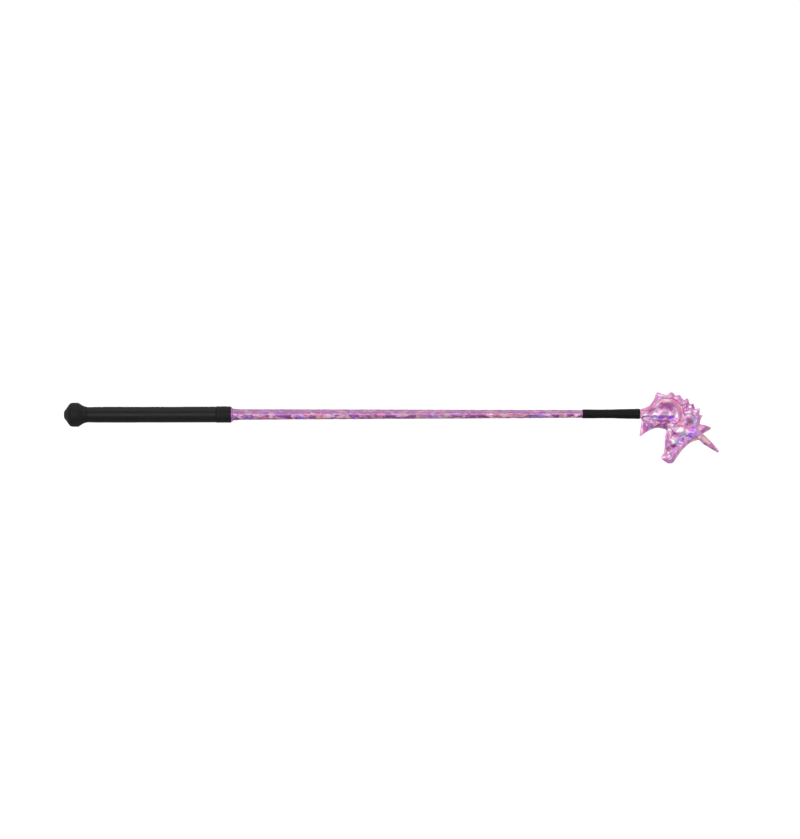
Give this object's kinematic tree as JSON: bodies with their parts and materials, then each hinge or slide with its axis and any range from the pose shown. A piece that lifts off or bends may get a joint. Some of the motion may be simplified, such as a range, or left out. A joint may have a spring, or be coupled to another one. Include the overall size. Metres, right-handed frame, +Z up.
{
  "type": "riding crop",
  "caption": "Short riding crop for a child: rubber handle with a knob, slim foil-wrapped shaft, black tip sleeve and a padded unicorn-head flap that flexes sideways.",
  "frame": {"origin": "middle of the grip, on the axis of the shaft", "axes": "+X along the shaft from the butt to the head, +Z up in the plane of the head, towards its mane, +Y across the head, away from the side seen first"},
  "size_m": [0.6497, 0.024, 0.0708],
  "materials": {
    "fibreglass": "translucent cream glass-fibre rod",
    "hard_plastic": "black moulded plastic, hidden inside",
    "knob_rubber": "smooth satin black rubber",
    "grip_rubber": "smooth satin black rubber",
    "band_rubber": "black rubber with a slightly rough, pressed surface",
    "foam": "white closed-cell foam, hidden inside",
    "shaft_foil": "pink-mauve holographic foil with cracked-ice facets",
    "webbing": "pale woven webbing, hidden inside",
    "thread": "black waxed thread, hidden inside",
    "shrink_sleeve": "matte black shrink sleeve",
    "stiffener_sheet": "thin white flexible plastic sheet, hidden inside",
    "head_foil": "pink-mauve holographic vinyl, glossy, creased and welded flat at its rim"
  },
  "bodies": {
    "shaft": {"core_rod": "fibreglass", "pommel_core": "hard_plastic", "pommel_cap": "knob_rubber", "handle_core": "hard_plastic", "grip_sleeve": "grip_rubber", "grip_end_band": "band_rubber", "shaft_padding": "foam", "film_wrap": "shaft_foil", "rod_tip_cap": "hard_plastic", "flap_tongue": "webbing", "binding_thread": "thread", "tip_sleeve": "shrink_sleeve"},
    "head": {"neck_spine": "webbing", "stiffener": "stiffener_sheet", "front_padding": "foam", "back_padding": "foam", "front_skin": "head_foil", "back_skin": "head_foil"}
  },
  "joints": [
    {"name": "head_flex", "type": "hinge", "parent": "shaft", "child": "head", "pos_m": [0.48875, 0, 0], "axis": [0, 0, 1], "range_deg": [-35, 35], "stiffness_Nm_per_rad": 0.04}
  ]
}
